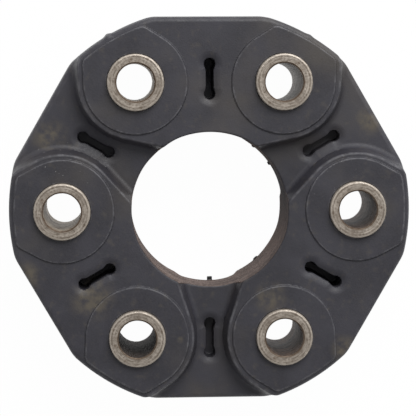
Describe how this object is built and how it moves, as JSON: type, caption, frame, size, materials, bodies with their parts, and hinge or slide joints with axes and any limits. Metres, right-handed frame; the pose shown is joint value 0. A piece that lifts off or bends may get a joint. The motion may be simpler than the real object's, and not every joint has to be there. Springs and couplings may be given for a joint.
{
  "type": "flexible disc driveshaft coupling",
  "caption": "Rounded hexagonal rubber disc with steel bolt sleeves and alternate thick and thin links; joins two shaft flanges and takes up small misalignment.",
  "frame": {"origin": "centre of the disc, on the shaft axis at mid thickness", "axes": "+Z along the shaft axis, out of the face that the picture shows; +X through the middle of the first sleeve; +Y through the middle of a thick link"},
  "size_m": [0.1316, 0.1262, 0.036],
  "materials": {
    "rubber": "matte moulded rubber",
    "steel": "turned, with a thin oxide film",
    "cord": "wound polyester cord"
  },
  "bodies": {
    "root": {"rubber_body": "rubber", "sleeve_1": "steel", "sleeve_2": "steel", "sleeve_3": "steel", "sleeve_4": "steel", "sleeve_5": "steel", "sleeve_6": "steel", "thin_link_cord_1": "cord", "thin_link_cord_2": "cord", "thin_link_cord_3": "cord", "thick_link_front_cord_1": "cord", "thick_link_front_cord_2": "cord", "thick_link_front_cord_3": "cord", "thick_link_back_cord_1": "cord", "thick_link_back_cord_2": "cord", "thick_link_back_cord_3": "cord"}
  },
  "joints": []
}
